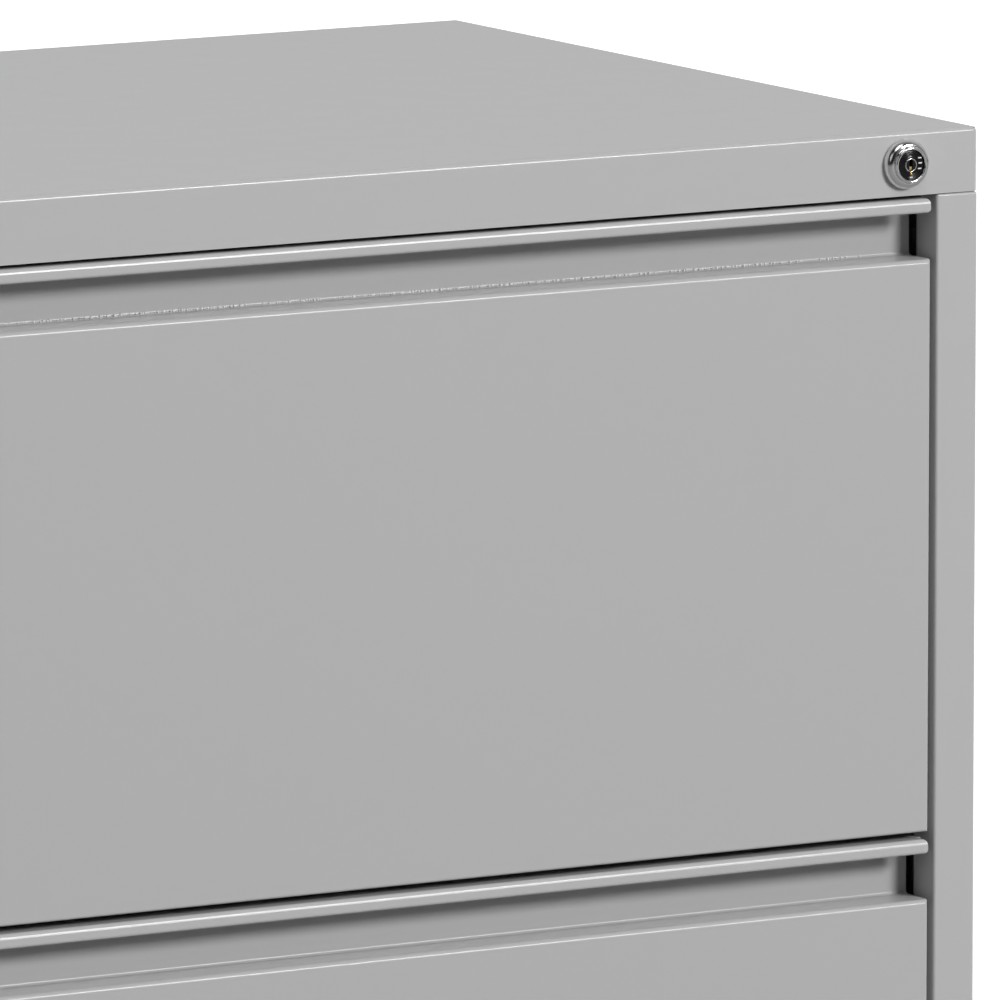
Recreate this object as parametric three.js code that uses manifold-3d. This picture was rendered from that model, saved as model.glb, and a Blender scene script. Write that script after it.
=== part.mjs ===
// Two-drawer lateral filing cabinet in painted sheet steel, in millimetres.
// X runs across the front, Y runs back into the case and Z is up from the floor, under the middle.

import * as THREE from "three";
import { mergeVertices } from "three/addons/utils/BufferGeometryUtils.js";
import Module from "manifold-3d";

const wasm = await Module();
wasm.setup();

// Case
const CASE_WIDTH = 914.4;
const CASE_DEPTH = 488.95;
const CASE_SHEET = 0.9;
const CASE_BEND = 1.2;
const PANEL_BEND = 0.3;
const RAIL_HEIGHT = 30.5;
const RAIL_RETURN = 15;
const CAP_JOINT = 0.3;
const CORNER_RELIEF = 1;
const STILE_WIDTH = 22.5;
const STILE_RETURN = 18;
const SIDE_FLANGE = 15;
const BACK_FLANGE = 8;

// Base
const BASE_HEIGHT = 78.9;
const BASE_CLEARANCE = 9.5;
const BASE_SHEET = 1.5;
const BASE_SETBACK = 20;
const BASE_RETURN = 30;
const RAIL_LAP = 12;
const WEIGHT_LENGTH = 760;
const WEIGHT_DEPTH = 32;
const WEIGHT_HEIGHT = 60;
const WEIGHT_CHAMFER = 1.5;

// Glides
const GLIDE_INSET = 60;
const GLIDE_RADIUS = 16;
const GLIDE_FOOT = 7;
const GLIDE_TOP_RADIUS = 11;
const GLIDE_CHAMFER = 1.5;
const GLIDE_STEM_RADIUS = 4.75;
const GLIDE_STEM_TOP = 46;
const GLIDE_NUT_FLATS = 17;
const GLIDE_NUT_HEIGHT = 8;

// Uprights that carry the slides
const UPRIGHT_SHEET = 1.5;
const UPRIGHT_WIDTH = 40;
const UPRIGHT_LIP = 10;
const SLOT_PITCH = 50.8;
const SLOT_LENGTH = 22;
const SLOT_WIDTH = 6;

// Drawer fronts
const DRAWER_PITCH = 304.8;
const DRAWER_GAP = 3.7;
const TOP_GAP = 1.9;
const BASE_GAP = 3.5;
const STILE_GAP = 3.1;
const FRONT_SHEET = 0.9;
const FRONT_BEND = 1.6;
const EDGE_BEND = 0.4;
const EDGE_LAP = 7;
const RECESS_DEPTH = 20;
const RECESS_HEIGHT = 28.8;
const LIP_HEIGHT = 7;
const LIP_HEM = 6;
const LIP_CORNER = 2.6;

// Drawer boxes
const BOX_SHEET = 0.9;
const BOX_BEND = 0.5;
const BOX_LIFT = 10;
const BOX_TOP_ROOM = 56;
const BOX_BACK_DROP = 45;
const BOX_FLANGE = 14;
const BOX_REAR_STEP = 8;
const LINER_LAP = 14;
const BEAD_WIDTH = 26;
const BEAD_HEIGHT = 4;
const BEAD_COUNT = 3;
const HANG_SHEET = 1.5;
const HANG_HEIGHT = 16;
const HANG_FOOT = 9;
const HANG_SETBACK = 15;

// Ball-bearing slides
const SLIDE_OFFSET = 22;
const SLIDE_SETBACK = 24;
const SLIDE_REAR_ROOM = 35;
const SLIDE_LEVEL = 90;
const SLIDE_HEIGHT = 45.7;
const SLIDE_WIDTH = 12.7;
const SLIDE_SHEET = 1.2;
const SLIDE_BEND = 0.9;
const SLIDE_LIP = 1.7;
const SLIDE_LIP_SETBACK = 1.7;
const BALL_DIAMETER = 3;
const BALL_PLAY = 0.25;
const BALL_ROW = 4;
const CAGE_SHEET = 0.6;
const CAGE_GAP = 0.8;
const CAGE_LENGTH = 200;
const CAGE_MARGIN = 14;

// Lock
const LOCK_INSET = 40.2;
const LOCK_PROUD = 6;
const BEZEL_BASE_RADIUS = 11.5;
const BEZEL_RING_RADIUS = 8.65;
const BEZEL_EDGE = 0.8;
const BARREL_RADIUS = 9.2;
const BARREL_LENGTH = 20;
const LOCK_NUT_FLATS = 22;
const LOCK_NUT_THICKNESS = 5;
const PLUG_RADIUS = 7;
const PLUG_SINK = 0.5;
const STUB_RADIUS = 3.5;
const KEYWAY_WIDTH = 1.8;
const KEYWAY_HEIGHT = 7.5;
const KEYWAY_DEPTH = 12;
const CAM_SHEET = 2;
const CAM_RADIUS = 10;
const CAM_PIN_RADIUS = 2;
const CAM_PIN_LENGTH = 4.5;
const CAM_REST_ANGLE = -Math.PI / 4;
const CAM_RIM = 3;
const CAM_CLEARANCE = 1;

// Lock bar and the catches that it blocks
const BAR_SHEET = 2;
const BAR_DEPTH = 12.5;
const BAR_FROM_SLIDE = 2;
const BAR_CLEARANCE = 0.4;
const ARM_HEIGHT = 9;
const SLOT_CLEARANCE = 0.5;
const TAB_HEIGHT = 14;
const TAB_REACH = 11;
const TAB_DROP = 2;
const CATCH_LEVEL = 150;
const CATCH_HEIGHT = 14;
const CATCH_LENGTH = 30;
const CATCH_REACH = 7.5;
const CATCH_PLAY = 3.5;
const CATCH_SHEET = 1.5;
const GUIDE_SHEET = 1;
const GUIDE_BEND = 0.4;
const GUIDE_HEIGHT = 20;
const GUIDE_LEVEL = 200;
const GUIDE_EAR = 9;
const GUIDE_LIP = 4;

// Fits
const SEAT = 0.2;
const TURNING_FIT = 0.3;
const LATERAL_FIT = 0.4;
const OVERSHOOT = 1;
const BEND_STEPS = 3;
const ARC_STEPS = 8;
const ROUND_STEPS = 20;
const BORE_STEPS = 12;
const BALL_SIDES = 6;

// Levels and planes worked out from the sizes above, with Y from the face of the case
const DRAWERS = ["lower", "upper"];
const halfWidth = CASE_WIDTH / 2;
const drawerHeight = DRAWER_PITCH - DRAWER_GAP;
const drawerBottom = (index) => BASE_HEIGHT + BASE_GAP + index * DRAWER_PITCH;
const railBottom = drawerBottom(DRAWERS.length - 1) + drawerHeight + TOP_GAP;
const caseHeight = railBottom + RAIL_HEIGHT;
const panelTop = railBottom - CAP_JOINT;
const skinInside = halfWidth - CASE_SHEET;
const frontHalf = halfWidth - STILE_WIDTH - STILE_GAP;
const backOuter = CASE_DEPTH - CASE_SHEET - SEAT;
const backInner = backOuter - CASE_SHEET;
const panTop = BASE_HEIGHT - CASE_SHEET - SEAT;
const panBottom = BASE_CLEARANCE + 2 * (CASE_SHEET + SEAT);
const slideOuter = halfWidth - SLIDE_OFFSET;
const slideLength = CASE_DEPTH - SLIDE_SETBACK - SLIDE_REAR_ROOM;
const boxHalf = slideOuter - SLIDE_WIDTH - SEAT;
const boxFront = RECESS_DEPTH + FRONT_SHEET + SEAT;
const boxRear = SLIDE_SETBACK + slideLength - BOX_REAR_STEP;
const boxTop = drawerHeight - BOX_TOP_ROOM;
const lockX = halfWidth - LOCK_INSET;
const lockZ = caseHeight - RAIL_HEIGHT / 2;
const camLift = 2 * CAM_RADIUS * Math.sin(-CAM_REST_ANGLE);
const camFront = BARREL_LENGTH + 2 * TURNING_FIT;
const barFront = camFront + CAM_SHEET + CAM_CLEARANCE;
const barRear = barFront + BAR_DEPTH;
const barInner = slideOuter + BAR_FROM_SLIDE;
const barOuter = barInner + BAR_SHEET;
const tabTop = CATCH_LEVEL - TAB_DROP;
const uprightFront = barRear + BAR_CLEARANCE + SEAT;

// Finishes
const PAINT = { color: 0xb3b4b2, roughness: 0.55, metalness: 0 };
const INNER_PAINT = { color: 0xa6a7a5, roughness: 0.6, metalness: 0 };
const ZINC = { color: 0xb9bdc2, roughness: 0.35, metalness: 0.9 };
const BALL_STEEL = { color: 0xc9cacb, roughness: 0.2, metalness: 1 };
const RAW_STEEL = { color: 0x6f7072, roughness: 0.6, metalness: 0.8 };
const CHROME = { color: 0xe4e6e8, roughness: 0.08, metalness: 1 };
const BLACK = { color: 0x141415, roughness: 0.35, metalness: 0 };
const NYLON = { color: 0x2a2a2b, roughness: 0.5, metalness: 0 };

// A closed geometry as a solid that can be joined and cut
function solid(geometry) {
  const bare = geometry.clone();
  bare.deleteAttribute("normal");
  bare.deleteAttribute("uv");
  const merged = mergeVertices(bare, 1e-4);
  const triVerts = new Uint32Array(merged.index.array);
  const vertProperties = merged.attributes.position.array;
  return new wasm.Manifold(new wasm.Mesh({ numProp: 3, vertProperties, triVerts }));
}

function geometryOf(body) {
  const mesh = body.getMesh();
  const geometry = new THREE.BufferGeometry();
  geometry.setAttribute("position", new THREE.BufferAttribute(mesh.vertProperties, 3));
  geometry.setIndex(new THREE.BufferAttribute(mesh.triVerts, 1));
  geometry.computeVertexNormals();
  return geometry;
}

function joined(...geometries) {
  return geometryOf(geometries.map(solid).reduce((whole, next) => whole.add(next)));
}

function cut(geometry, ...tools) {
  return geometryOf(tools.map(solid).reduce((whole, tool) => whole.subtract(tool), solid(geometry)));
}

function common(geometry, other) {
  return geometryOf(solid(geometry).intersect(solid(other)));
}

function piece(name, geometry, finish) {
  const mesh = new THREE.Mesh(geometry, new THREE.MeshStandardMaterial(finish));
  mesh.name = name;
  return mesh;
}

// The same piece on the other hand of the cabinet
function mirrored(mesh) {
  mesh.scale.x = -1;
  return mesh;
}

function box(x0, x1, y0, y1, z0, z1) {
  const geometry = new THREE.BoxGeometry(x1 - x0, y1 - y0, z1 - z0);
  return geometry.translate((x0 + x1) / 2, (y0 + y1) / 2, (z0 + z1) / 2);
}

function extruded(shape, length) {
  return new THREE.ExtrudeGeometry(shape, { depth: length, bevelEnabled: false, curveSegments: BEND_STEPS });
}

const AXIS_X = new THREE.Vector3(1, 0, 0);
const AXIS_Y = new THREE.Vector3(0, 1, 0);
const AXIS_Z = new THREE.Vector3(0, 0, 1);

// A profile drawn in Y and Z, run along X
function alongX(shape, from, to) {
  const turn = new THREE.Matrix4().makeBasis(AXIS_Y, AXIS_Z, AXIS_X);
  return extruded(shape, to - from).applyMatrix4(turn).translate(from, 0, 0);
}

// A profile drawn in X and Z, run along Y
function alongY(shape, from, to) {
  const turn = new THREE.Matrix4().makeBasis(AXIS_X, AXIS_Z, AXIS_Y.clone().negate());
  return extruded(shape, to - from).applyMatrix4(turn).translate(0, to, 0);
}

// A profile drawn in X and Y, run along Z
function alongZ(shape, from, to) {
  return extruded(shape, to - from).translate(0, 0, from);
}

// The section of a bent sheet: the points follow one face, with the metal on their left,
// or on their right where the thickness is negative, and each corner is a bend, all alike or one by one
function sheetShape(points, thickness, bends) {
  const near = [];
  const far = [];
  const side = Math.sign(thickness);
  const gauge = Math.abs(thickness);
  const corners = points.map(([u, v]) => new THREE.Vector2(u, v));
  const runs = corners.slice(1).map((corner, i) => corner.clone().sub(corners[i]).normalize());
  const leftOf = (run) => new THREE.Vector2(-run.y, run.x);
  const bendAt = (i) => (Array.isArray(bends) ? bends[i - 1] : bends);
  const square = (corner, run) => {
    near.push(corner);
    far.push(corner.clone().addScaledVector(leftOf(run), thickness));
  };
  square(corners[0], runs[0]);
  for (let i = 1; i < corners.length - 1; i++) {
    const turn = Math.atan2(runs[i - 1].cross(runs[i]), runs[i - 1].dot(runs[i]));
    const inward = Math.sign(turn) === side;
    const bend = bendAt(i);
    const nearRadius = inward ? bend + gauge : bend;
    const farRadius = inward ? bend : bend + gauge;
    const setback = nearRadius * Math.tan(Math.abs(turn) / 2);
    const toCentre = leftOf(runs[i - 1]).multiplyScalar(Math.sign(turn));
    const centre = corners[i].clone().addScaledVector(runs[i - 1], -setback);
    centre.addScaledVector(toCentre, nearRadius);
    for (let step = 0; step <= BEND_STEPS; step++) {
      const spoke = toCentre.clone().negate().rotateAround(new THREE.Vector2(), (turn * step) / BEND_STEPS);
      near.push(centre.clone().addScaledVector(spoke, nearRadius));
      far.push(centre.clone().addScaledVector(spoke, farRadius));
    }
  }
  square(corners.at(-1), runs.at(-1));
  return new THREE.Shape([...near, ...far.reverse()]);
}

function roundedRectangle(x0, x1, y0, y1, radius) {
  const shape = new THREE.Shape();
  shape.moveTo(x0 + radius, y0);
  shape.lineTo(x1 - radius, y0);
  shape.absarc(x1 - radius, y0 + radius, radius, -Math.PI / 2, 0);
  shape.lineTo(x1, y1 - radius);
  shape.absarc(x1 - radius, y1 - radius, radius, 0, Math.PI / 2);
  shape.lineTo(x0 + radius, y1);
  shape.absarc(x0 + radius, y1 - radius, radius, Math.PI / 2, Math.PI);
  shape.lineTo(x0, y0 + radius);
  shape.absarc(x0 + radius, y0 + radius, radius, Math.PI, 1.5 * Math.PI);
  return shape;
}

// A slab with all its edges rounded
function roundedSlab(x0, x1, y0, y1, z0, z1, edge) {
  const shape = roundedRectangle(x0, x1, y0, y1, edge + TURNING_FIT);
  const bevel = { bevelSize: edge, bevelThickness: edge, bevelOffset: -edge, bevelSegments: BEND_STEPS };
  const run = { depth: z1 - z0 - 2 * edge, curveSegments: BEND_STEPS };
  return new THREE.ExtrudeGeometry(shape, { ...run, ...bevel }).translate(0, 0, z0 + edge);
}

// A folded sheet tray, closed all round until it is cut open
function foldedTray(x0, x1, y0, y1, z0, z1, bend) {
  const t = CASE_SHEET;
  const outer = roundedSlab(x0, x1, y0, y1, z0, z1, bend + t);
  return cut(outer, roundedSlab(x0 + t, x1 - t, y0 + t, y1 - t, z0 + t, z1 - t, bend));
}

function hexagon(flats, holeRadius, steps = ROUND_STEPS) {
  const shape = circle(flats / Math.sqrt(3), 6);
  shape.holes.push(circle(holeRadius, steps));
  return shape;
}

function circle(radius, steps = ROUND_STEPS) {
  const points = [...Array(steps).keys()].map((i) => (i * 2 * Math.PI) / steps);
  return new THREE.Shape(points.map((a) => new THREE.Vector2(radius * Math.cos(a), radius * Math.sin(a))));
}

// A profile of [radius, distance] points turned about an axis along Y
function turnedAlongY(points, steps = ROUND_STEPS) {
  const profile = points.map(([radius, along]) => new THREE.Vector2(radius, along));
  return new THREE.LatheGeometry(profile, steps);
}

// Top cap: an open tray with the front rail, turned-in edges front and back and the hole for the lock
function topCap() {
  const t = CASE_SHEET;
  const low = railBottom - CASE_BEND - 2 * t;
  const tray = foldedTray(-halfWidth, halfWidth, 0, CASE_DEPTH, low, caseHeight, CASE_BEND);
  const across = [-halfWidth - OVERSHOOT, halfWidth + OVERSHOOT];
  const below = box(...across, -OVERSHOOT, CASE_DEPTH + OVERSHOOT, low - OVERSHOOT, railBottom);
  const returns = [[t / 2, RAIL_RETURN], [CASE_DEPTH - RAIL_RETURN, CASE_DEPTH - t / 2]].map(([y0, y1]) => {
    return box(-skinInside + CASE_BEND, skinInside - CASE_BEND, y0, y1, railBottom, railBottom + t);
  });
  const lockHole = alongY(circle(BARREL_RADIUS + TURNING_FIT), -OVERSHOOT, RAIL_RETURN / 2);
  lockHole.translate(lockX, 0, lockZ);
  const reliefs = [-1, 1].flatMap((hand) => [0, 1].map((back) => {
    const inset = CASE_BEND + CORNER_RELIEF / 2;
    const y = back ? CASE_DEPTH - inset : inset;
    const foot = caseHeight - CASE_BEND - t;
    const hole = alongZ(circle(CORNER_RELIEF, BORE_STEPS), foot, caseHeight + OVERSHOOT);
    return hole.translate(hand * (halfWidth - inset), y, 0);
  }));
  const open = joined(cut(tray, below), ...returns);
  return piece("top_cap", cut(open, lockHole, ...reliefs), PAINT);
}

// Side panel: the skin with its front stile, the stile's return and flanges at top, bottom and rear
function sidePanel(name) {
  const stileInner = halfWidth - STILE_WIDTH;
  const tray = foldedTray(stileInner, halfWidth, 0, CASE_DEPTH, BASE_CLEARANCE, panelTop, PANEL_BEND);
  const flangeEdge = halfWidth - SIDE_FLANGE;
  const rear = CASE_DEPTH + OVERSHOOT;
  const mouth = box(stileInner - OVERSHOOT, flangeEdge, STILE_RETURN, rear, 0, caseHeight);
  return piece(name, cut(tray, mouth), PAINT);
}

function backPanel() {
  const low = BASE_CLEARANCE + CASE_SHEET + SEAT;
  const high = panelTop - CASE_SHEET - SEAT;
  const edge = backOuter - BACK_FLANGE;
  const points = [[edge, low], [backOuter, low], [backOuter, high], [edge, high]];
  const section = sheetShape(points, CASE_SHEET, CASE_BEND);
  const half = skinInside - PANEL_BEND - LATERAL_FIT;
  return piece("back_panel", alongX(section, -half, half), PAINT);
}

// Base: the kick rail in front and the pan with its weld nuts for the glides
function baseFrontRail() {
  const low = [[STILE_RETURN, BASE_CLEARANCE], [0, BASE_CLEARANCE]];
  const high = [[0, BASE_HEIGHT], [BASE_SETBACK + RAIL_LAP, BASE_HEIGHT]];
  const half = halfWidth - STILE_WIDTH - LATERAL_FIT;
  const section = sheetShape([...low, ...high], -CASE_SHEET, CASE_BEND);
  return piece("base_front_rail", alongX(section, -half, half), PAINT);
}

const panFront = BASE_SETBACK;
const panRear = backInner - SEAT;
const glidePlaces = {
  front_left: [-halfWidth + GLIDE_INSET, panFront + BASE_RETURN / 2],
  front_right: [halfWidth - GLIDE_INSET, panFront + BASE_RETURN / 2],
  rear_left: [-halfWidth + GLIDE_INSET, panRear - BASE_RETURN / 2],
  rear_right: [halfWidth - GLIDE_INSET, panRear - BASE_RETURN / 2],
};

function basePan() {
  const rear = [[panRear - BASE_RETURN, panBottom], [panRear, panBottom], [panRear, panTop]];
  const front = [[panFront, panTop], [panFront, panBottom], [panFront + BASE_RETURN, panBottom]];
  const half = skinInside - SEAT;
  const pan = alongX(sheetShape([...rear, ...front], BASE_SHEET, CASE_BEND), -half, half);
  const places = Object.values(glidePlaces);
  const bore = GLIDE_STEM_RADIUS + TURNING_FIT;
  const nutBase = panBottom + BASE_SHEET / 2;
  const nuts = places.map(([x, y]) => {
    const top = panBottom + BASE_SHEET + GLIDE_NUT_HEIGHT;
    return alongZ(hexagon(GLIDE_NUT_FLATS, bore, BORE_STEPS), nutBase, top).translate(x, y, 0);
  });
  const holes = places.map(([x, y]) => {
    const tool = alongZ(circle(bore, BORE_STEPS), panBottom - OVERSHOOT, nutBase + OVERSHOOT);
    return tool.translate(x, y, 0);
  });
  return piece("base_pan", joined(cut(pan, ...holes), ...nuts), ZINC);
}

function counterweight() {
  const shape = new THREE.Shape();
  const inset = WEIGHT_CHAMFER;
  const rear = panRear - SEAT;
  shape.moveTo(rear - WEIGHT_DEPTH, panTop + SEAT);
  shape.lineTo(rear, panTop + SEAT);
  shape.lineTo(rear, panTop + WEIGHT_HEIGHT - inset);
  shape.lineTo(rear - inset, panTop + WEIGHT_HEIGHT);
  shape.lineTo(rear - WEIGHT_DEPTH + inset, panTop + WEIGHT_HEIGHT);
  shape.lineTo(rear - WEIGHT_DEPTH, panTop + WEIGHT_HEIGHT - inset);
  return piece("counterweight", alongX(shape, -WEIGHT_LENGTH / 2, WEIGHT_LENGTH / 2), RAW_STEEL);
}

function glide(name) {
  const rim = GLIDE_RADIUS;
  const edge = GLIDE_CHAMFER;
  const foot = [[0, 0], [rim - edge, 0], [rim, edge], [rim, GLIDE_FOOT / 2], [GLIDE_TOP_RADIUS, GLIDE_FOOT]];
  const neck = [GLIDE_STEM_RADIUS, GLIDE_FOOT];
  const stem = [[GLIDE_STEM_RADIUS, GLIDE_STEM_TOP - edge], [GLIDE_STEM_RADIUS - edge, GLIDE_STEM_TOP]];
  const turned = turnedAlongY([...foot, neck, ...stem, [0, GLIDE_STEM_TOP]], BORE_STEPS);
  return piece(name, turned.rotateX(Math.PI / 2), NYLON);
}

// Slotted upright: a hat section whose crown carries the slides
function upright(name, front) {
  const t = UPRIGHT_SHEET;
  const crown = slideOuter + SEAT;
  const brim = skinInside - SEAT;
  const rear = front + UPRIGHT_WIDTH;
  const first = [[brim, front + t - UPRIGHT_LIP], [brim, front + t], [crown + t, front + t]];
  const last = [[crown + t, rear - t], [brim, rear - t], [brim, rear - t + UPRIGHT_LIP]];
  const section = sheetShape([...first, ...last], t, CASE_BEND);
  const low = panTop + SEAT;
  const high = panelTop - CASE_SHEET - PANEL_BEND - SEAT;
  const middle = (front + rear) / 2;
  const slots = [];
  for (let z = low + SLOT_PITCH; z + SLOT_LENGTH < high; z += SLOT_PITCH) {
    const across = [crown - OVERSHOOT, crown + t + OVERSHOOT];
    slots.push(box(...across, middle - SLOT_WIDTH / 2, middle + SLOT_WIDTH / 2, z, z + SLOT_LENGTH));
  }
  return piece(name, cut(alongZ(section, low, high), ...slots), ZINC);
}

// Drawer front: one sheet folded through the face, the finger recess and the hemmed pull lip
const recessFloor = drawerHeight - RECESS_HEIGHT;
const lipBottom = drawerHeight - LIP_HEIGHT;

function drawerFront(name) {
  const t = FRONT_SHEET;
  const face = [[RECESS_DEPTH, 0], [0, 0], [0, recessFloor]];
  const recess = [[RECESS_DEPTH, recessFloor], [RECESS_DEPTH, drawerHeight - t]];
  const lip = [[t, drawerHeight - t], [t, lipBottom + t], [t + LIP_HEM, lipBottom + t]];
  const bends = [EDGE_BEND, FRONT_BEND, FRONT_BEND, FRONT_BEND, FRONT_BEND, EDGE_BEND];
  const sheet = alongX(sheetShape([...face, ...recess, ...lip], -t, bends), -frontHalf, frontHalf);
  const edge = [[frontHalf - EDGE_LAP, 0], [frontHalf, 0], [frontHalf, RECESS_DEPTH]];
  const edgeFold = EDGE_BEND + t;
  const flangeHeight = [edgeFold, recessFloor - FRONT_BEND - t];
  const right = alongZ(sheetShape(edge, t, EDGE_BEND), ...flangeHeight);
  const leftEdge = edge.map(([x, y]) => [-x, y]);
  const left = alongZ(sheetShape(leftEdge, -t, EDGE_BEND), ...flangeHeight);
  const split = (recessFloor + lipBottom) / 2;
  const deep = RECESS_DEPTH + t + edgeFold + OVERSHOOT;
  const facePlan = roundedRectangle(-frontHalf, frontHalf, 0, deep, edgeFold + SEAT);
  const lipFront = roundedRectangle(-frontHalf, frontHalf, lipBottom, drawerHeight, LIP_CORNER);
  const lipRear = t + LIP_HEM + SEAT;
  const outline = joined(
    alongZ(facePlan, -OVERSHOOT, split),
    box(-frontHalf, frontHalf, lipRear, deep, split - OVERSHOOT, drawerHeight + OVERSHOOT),
    alongY(lipFront, -OVERSHOOT, lipRear + OVERSHOOT),
  );
  return piece(name, common(joined(sheet, left, right), outline), PAINT);
}

// Drawer box, in the drawer's own frame: origin at the bottom edge of the front, on its face
const boxInside = boxHalf - BOX_SHEET - BOX_BEND - SEAT;
const linerLow = BOX_LIFT + BOX_SHEET + SEAT;
const bottomLow = linerLow + BOX_SHEET + SEAT;

function boxSide(name) {
  const edge = boxHalf - BOX_FLANGE;
  const points = [[edge, BOX_LIFT], [boxHalf, BOX_LIFT], [boxHalf, boxTop], [edge, boxTop]];
  const section = sheetShape(points, BOX_SHEET, BOX_BEND);
  return piece(name, alongY(section, boxFront + BOX_SHEET + SEAT, boxRear), INNER_PAINT);
}

// Closing sheet across the box, with its flanges turned into the box
function crossSheet(name, face, inward, top) {
  const edge = face + inward * BOX_FLANGE;
  const points = [[edge, linerLow], [face, linerLow], [face, top], [edge, top]];
  const section = sheetShape(points, -inward * BOX_SHEET, BOX_BEND);
  return piece(name, alongX(section, -boxInside, boxInside), INNER_PAINT);
}

// Bottom with stiffening beads pressed up across its width
function boxBottom(name) {
  const front = boxFront + BOX_SHEET + SEAT;
  const rear = boxRear - BOX_SHEET - SEAT;
  const points = [[front, bottomLow]];
  for (let i = 1; i <= BEAD_COUNT; i++) {
    const middle = front + ((rear - front) * i) / (BEAD_COUNT + 1);
    const foot = BEAD_WIDTH / 2;
    const crown = foot - BEAD_HEIGHT;
    points.push([middle - foot, bottomLow], [middle - crown, bottomLow + BEAD_HEIGHT]);
    points.push([middle + crown, bottomLow + BEAD_HEIGHT], [middle + foot, bottomLow]);
  }
  points.push([rear, bottomLow]);
  return piece(name, alongX(sheetShape(points, BOX_SHEET, BOX_BEND), -boxInside, boxInside), INNER_PAINT);
}

// Folder rail that rests across the flanges of the two box sides
function hangRail(name, y, footward) {
  const low = boxTop + SEAT;
  const points = [[y + footward * HANG_FOOT, low], [y, low], [y, low + HANG_HEIGHT]];
  const section = sheetShape(points, -footward * HANG_SHEET, BOX_BEND);
  return piece(name, alongX(section, -boxInside, boxInside), ZINC);
}

// Catch on the right box side, which the lock bar's tab blocks
const catchFront = barFront + BAR_SHEET + CATCH_PLAY;

function lockCatch(name) {
  const root = boxHalf + SEAT;
  const points = [[root + CATCH_REACH, catchFront], [root, catchFront], [root, catchFront + CATCH_LENGTH]];
  const section = sheetShape(points, -CATCH_SHEET, BOX_BEND);
  return piece(name, alongZ(section, CATCH_LEVEL, CATCH_LEVEL + CATCH_HEIGHT), ZINC);
}

// Slide sections nest from the case inwards: X from the case member's back, Z from the centre line
const ballGap = BALL_DIAMETER + 2 * BALL_PLAY;
const caseRace = SLIDE_HEIGHT / 2 - SLIDE_SHEET;
const middleOuter = caseRace - ballGap;
const middleRace = middleOuter - SLIDE_SHEET;
const drawerOuter = middleRace - ballGap;
const outerCageX = SLIDE_SHEET + CAGE_GAP;
const middleX = outerCageX + CAGE_SHEET + CAGE_GAP;
const innerCageX = middleX + SLIDE_SHEET + CAGE_GAP;
const drawerReach = innerCageX + CAGE_SHEET + CAGE_GAP;
const caseReach = SLIDE_WIDTH - SLIDE_LIP_SETBACK;
const outerCageReach = caseReach - SLIDE_SHEET - CAGE_GAP;
const innerCageReach = SLIDE_WIDTH - SLIDE_SHEET - CAGE_GAP;

function channel(x, reach, half, thickness, bend) {
  return sheetShape([[reach, -half], [x, -half], [x, half], [reach, half]], -thickness, bend);
}

function caseMember(name) {
  const half = SLIDE_HEIGHT / 2;
  const lip = half - SLIDE_SHEET - SLIDE_LIP;
  const low = [[caseReach, -lip], [caseReach, -half], [0, -half]];
  const high = [[0, half], [caseReach, half], [caseReach, lip]];
  return piece(name, alongY(sheetShape([...low, ...high], -SLIDE_SHEET, SLIDE_BEND), 0, slideLength), ZINC);
}

function middleMember(name) {
  const section = channel(middleX, caseReach, middleOuter, SLIDE_SHEET, SLIDE_BEND);
  return piece(name, alongY(section, 0, slideLength), ZINC);
}

function drawerMember(name) {
  const half = drawerOuter;
  const points = [[drawerReach, half], [SLIDE_WIDTH, half], [SLIDE_WIDTH, -half], [drawerReach, -half]];
  return piece(name, alongY(sheetShape(points, -SLIDE_SHEET, SLIDE_BEND), 0, slideLength), ZINC);
}

// Cage strip with its two rows of balls between an outer and an inner race
function ballCage(name, x, reach, race) {
  const level = race - ballGap / 2;
  const start = (slideLength - CAGE_LENGTH) / 2;
  const section = channel(x, reach, level + CAGE_SHEET / 2, CAGE_SHEET, CAGE_GAP);
  const strip = alongY(section, start, start + CAGE_LENGTH);
  const balls = [];
  for (let i = 0; i < BALL_ROW; i++) {
    const y = start + CAGE_MARGIN + ((CAGE_LENGTH - 2 * CAGE_MARGIN) * i) / (BALL_ROW - 1);
    for (const z of [-level, level]) {
      const ball = new THREE.SphereGeometry(BALL_DIAMETER / 2, BALL_SIDES, BALL_SIDES / 2);
      balls.push(ball.translate((x + CAGE_SHEET + reach) / 2, y, z));
    }
  }
  return piece(name, joined(strip, ...balls), BALL_STEEL);
}

function slide(prefix) {
  const group = new THREE.Group();
  group.add(caseMember(`${prefix}_case_member`), middleMember(`${prefix}_middle_member`));
  group.add(drawerMember(`${prefix}_drawer_member`));
  group.add(ballCage(`${prefix}_outer_ball_cage`, outerCageX, outerCageReach, caseRace));
  group.add(ballCage(`${prefix}_inner_ball_cage`, innerCageX, innerCageReach, middleRace));
  return group;
}

// Lock housing: the domed bezel in front of the rail and the barrel behind it
function lockHousing() {
  const bore = PLUG_RADIUS + TURNING_FIT;
  const ring = BEZEL_RING_RADIUS;
  const base = BEZEL_BASE_RADIUS;
  const front = -LOCK_PROUD;
  const face = [[bore, front + PLUG_SINK], [bore + PLUG_SINK, front], [ring - PLUG_SINK, front]];
  const crown = front + PLUG_SINK;
  const dome = [...Array(BEND_STEPS + 1).keys()].map((i) => {
    const turn = (i * Math.PI) / 2 / BEND_STEPS;
    const along = crown + (-BEZEL_EDGE - crown) * (1 - Math.cos(turn));
    return [ring + (base - ring) * Math.sin(turn), along];
  });
  const foot = [[base, -SEAT], [BARREL_RADIUS, -SEAT]];
  const barrel = [[BARREL_RADIUS, BARREL_LENGTH], [bore, BARREL_LENGTH], [bore, front + PLUG_SINK]];
  return piece("lock_housing", turnedAlongY([...face, ...dome, ...foot, ...barrel]), CHROME);
}

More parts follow.
